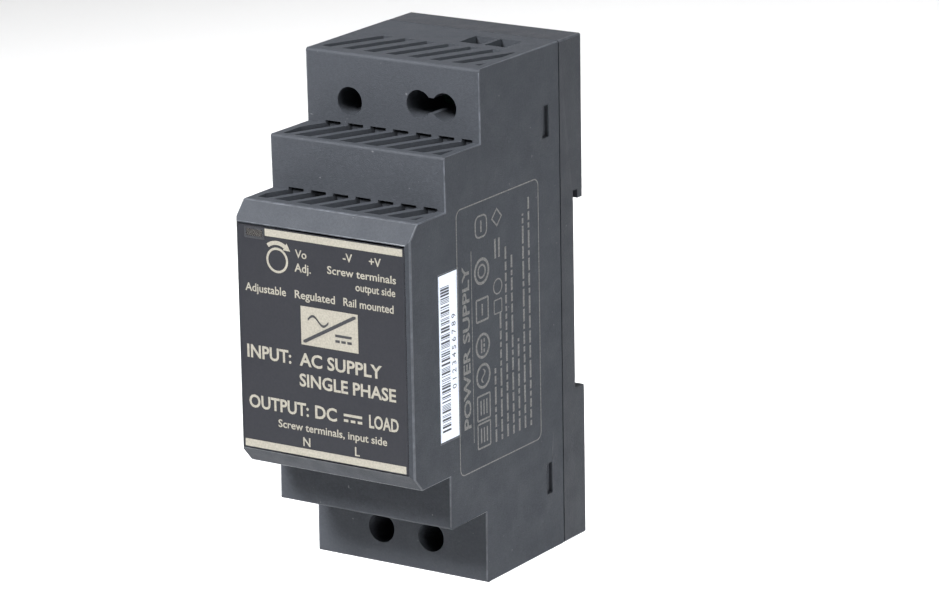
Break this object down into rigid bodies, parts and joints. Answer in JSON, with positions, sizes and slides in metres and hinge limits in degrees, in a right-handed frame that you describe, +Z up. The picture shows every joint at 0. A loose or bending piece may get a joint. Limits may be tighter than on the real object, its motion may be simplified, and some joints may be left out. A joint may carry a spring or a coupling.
{
  "type": "din rail power supply",
  "caption": "Slim stepped switching power supply that clips onto a 35 mm mounting rail, with front screw terminals, slanted vents and a sprung rail latch.",
  "frame": {"origin": "middle of the seat in the rear base that bears on the front of the 35 mm rail", "axes": "+X to the right seen from the front, +Y back towards the rail and the panel behind it, +Z up along the tall side, across the rail"},
  "size_m": [0.035, 0.0545, 0.09],
  "materials": {
    "housing": "fine-grained moulded",
    "base": "fine-grained moulded",
    "label": "printed film",
    "window": "clear",
    "sticker": "satin paper",
    "latch": "moulded",
    "steel": "zinc plated",
    "brass": "tinned",
    "aluminium": "mill",
    "board": "solder resist",
    "terminal": "moulded",
    "component": "moulded epoxy",
    "sleeve": "shrink sleeve",
    "ferrite": "ground ferrite",
    "copper": "enamelled wire",
    "tape": "film tape",
    "blue_part": "epoxy dip",
    "rotor": "moulded"
  },
  "bodies": {
    "case": {"front_housing": "housing", "front_label": "label", "led_window": "window", "light_pipe": "window", "serial_sticker": "sticker", "rear_base": "base", "latch_spring": "steel", "main_pcb": "board", "output_terminal_body": "terminal", "output_1_contact": "brass", "output_2_contact": "brass", "input_terminal_body": "terminal", "input_1_contact": "brass", "input_2_contact": "brass", "trimmer_body": "blue_part", "status_led": "window", "transformer_core_rear": "ferrite", "transformer_core_front": "ferrite", "transformer_bobbin": "component", "transformer_winding": "copper", "transformer_tape": "tape", "bulk_capacitor": "sleeve", "output_capacitor_1": "sleeve", "output_capacitor_2": "sleeve", "choke_core": "ferrite", "choke_coil_1": "copper", "choke_coil_2": "copper", "output_inductor": "ferrite", "primary_heatsink": "aluminium", "switching_transistor": "component", "bridge_rectifier": "component", "secondary_heatsink": "aluminium", "output_rectifier": "component", "x_capacitor": "tape", "fuse": "component", "thermistor": "component", "varistor": "blue_part", "y_capacitor": "blue_part", "optocoupler": "component", "controller_ic": "component"},
    "latch": {"rail_latch": "latch"},
    "trimmer": {"trimmer_rotor": "rotor"},
    "output_screw_1": {"output_1_screw": "steel"},
    "output_clamp_1": {"output_1_clamp": "steel"},
    "output_screw_2": {"output_2_screw": "steel"},
    "output_clamp_2": {"output_2_clamp": "steel"},
    "input_screw_1": {"input_1_screw": "steel"},
    "input_clamp_1": {"input_1_clamp": "steel"},
    "input_screw_2": {"input_2_screw": "steel"},
    "input_clamp_2": {"input_2_clamp": "steel"}
  },
  "joints": [
    {"name": "latch_slide", "type": "slide", "parent": "case", "child": "latch", "axis": [0, 0, -1], "range_m": [0, 0.004], "stiffness_N_per_m": 1500, "springref_m": -0.002, "deforming": ["latch_spring"]},
    {"name": "trimmer_turn", "type": "hinge", "parent": "case", "child": "trimmer", "pos_m": [-0.0087, -0.0106, 0.0366], "axis": [0, 1, 0], "range_deg": [-120, 120]},
    {"name": "output_screw_1_turn", "type": "hinge", "parent": "case", "child": "output_screw_1", "pos_m": [0.0053, -0.015, 0.0377], "axis": [0, 1, 0], "range_deg": [0, 1800]},
    {"name": "output_clamp_1_rise", "type": "slide", "parent": "case", "child": "output_clamp_1", "axis": [0, -1, 0], "range_m": [0, 0.0025]},
    {"name": "output_screw_2_turn", "type": "hinge", "parent": "case", "child": "output_screw_2", "pos_m": [0.0104, -0.015, 0.0377], "axis": [0, 1, 0], "range_deg": [0, 1800]},
    {"name": "output_clamp_2_rise", "type": "slide", "parent": "case", "child": "output_clamp_2", "axis": [0, -1, 0], "range_m": [0, 0.0025]},
    {"name": "input_screw_1_turn", "type": "hinge", "parent": "case", "child": "input_screw_1", "pos_m": [-0.0042, -0.015, -0.0386], "axis": [0, 1, 0], "range_deg": [0, 1800]},
    {"name": "input_clamp_1_rise", "type": "slide", "parent": "case", "child": "input_clamp_1", "axis": [0, -1, 0], "range_m": [0, 0.0025]},
    {"name": "input_screw_2_turn", "type": "hinge", "parent": "case", "child": "input_screw_2", "pos_m": [0.006, -0.015, -0.0386], "axis": [0, 1, 0], "range_deg": [0, 1800]},
    {"name": "input_clamp_2_rise", "type": "slide", "parent": "case", "child": "input_clamp_2", "axis": [0, -1, 0], "range_m": [0, 0.0025]}
  ],
  "couplings": [
    {"joint": "output_screw_1_turn", "follows": "output_clamp_1_rise", "rad_per_m": 12566},
    {"joint": "output_screw_2_turn", "follows": "output_clamp_2_rise", "rad_per_m": 12566},
    {"joint": "input_screw_1_turn", "follows": "input_clamp_1_rise", "rad_per_m": 12566},
    {"joint": "input_screw_2_turn", "follows": "input_clamp_2_rise", "rad_per_m": 12566}
  ]
}
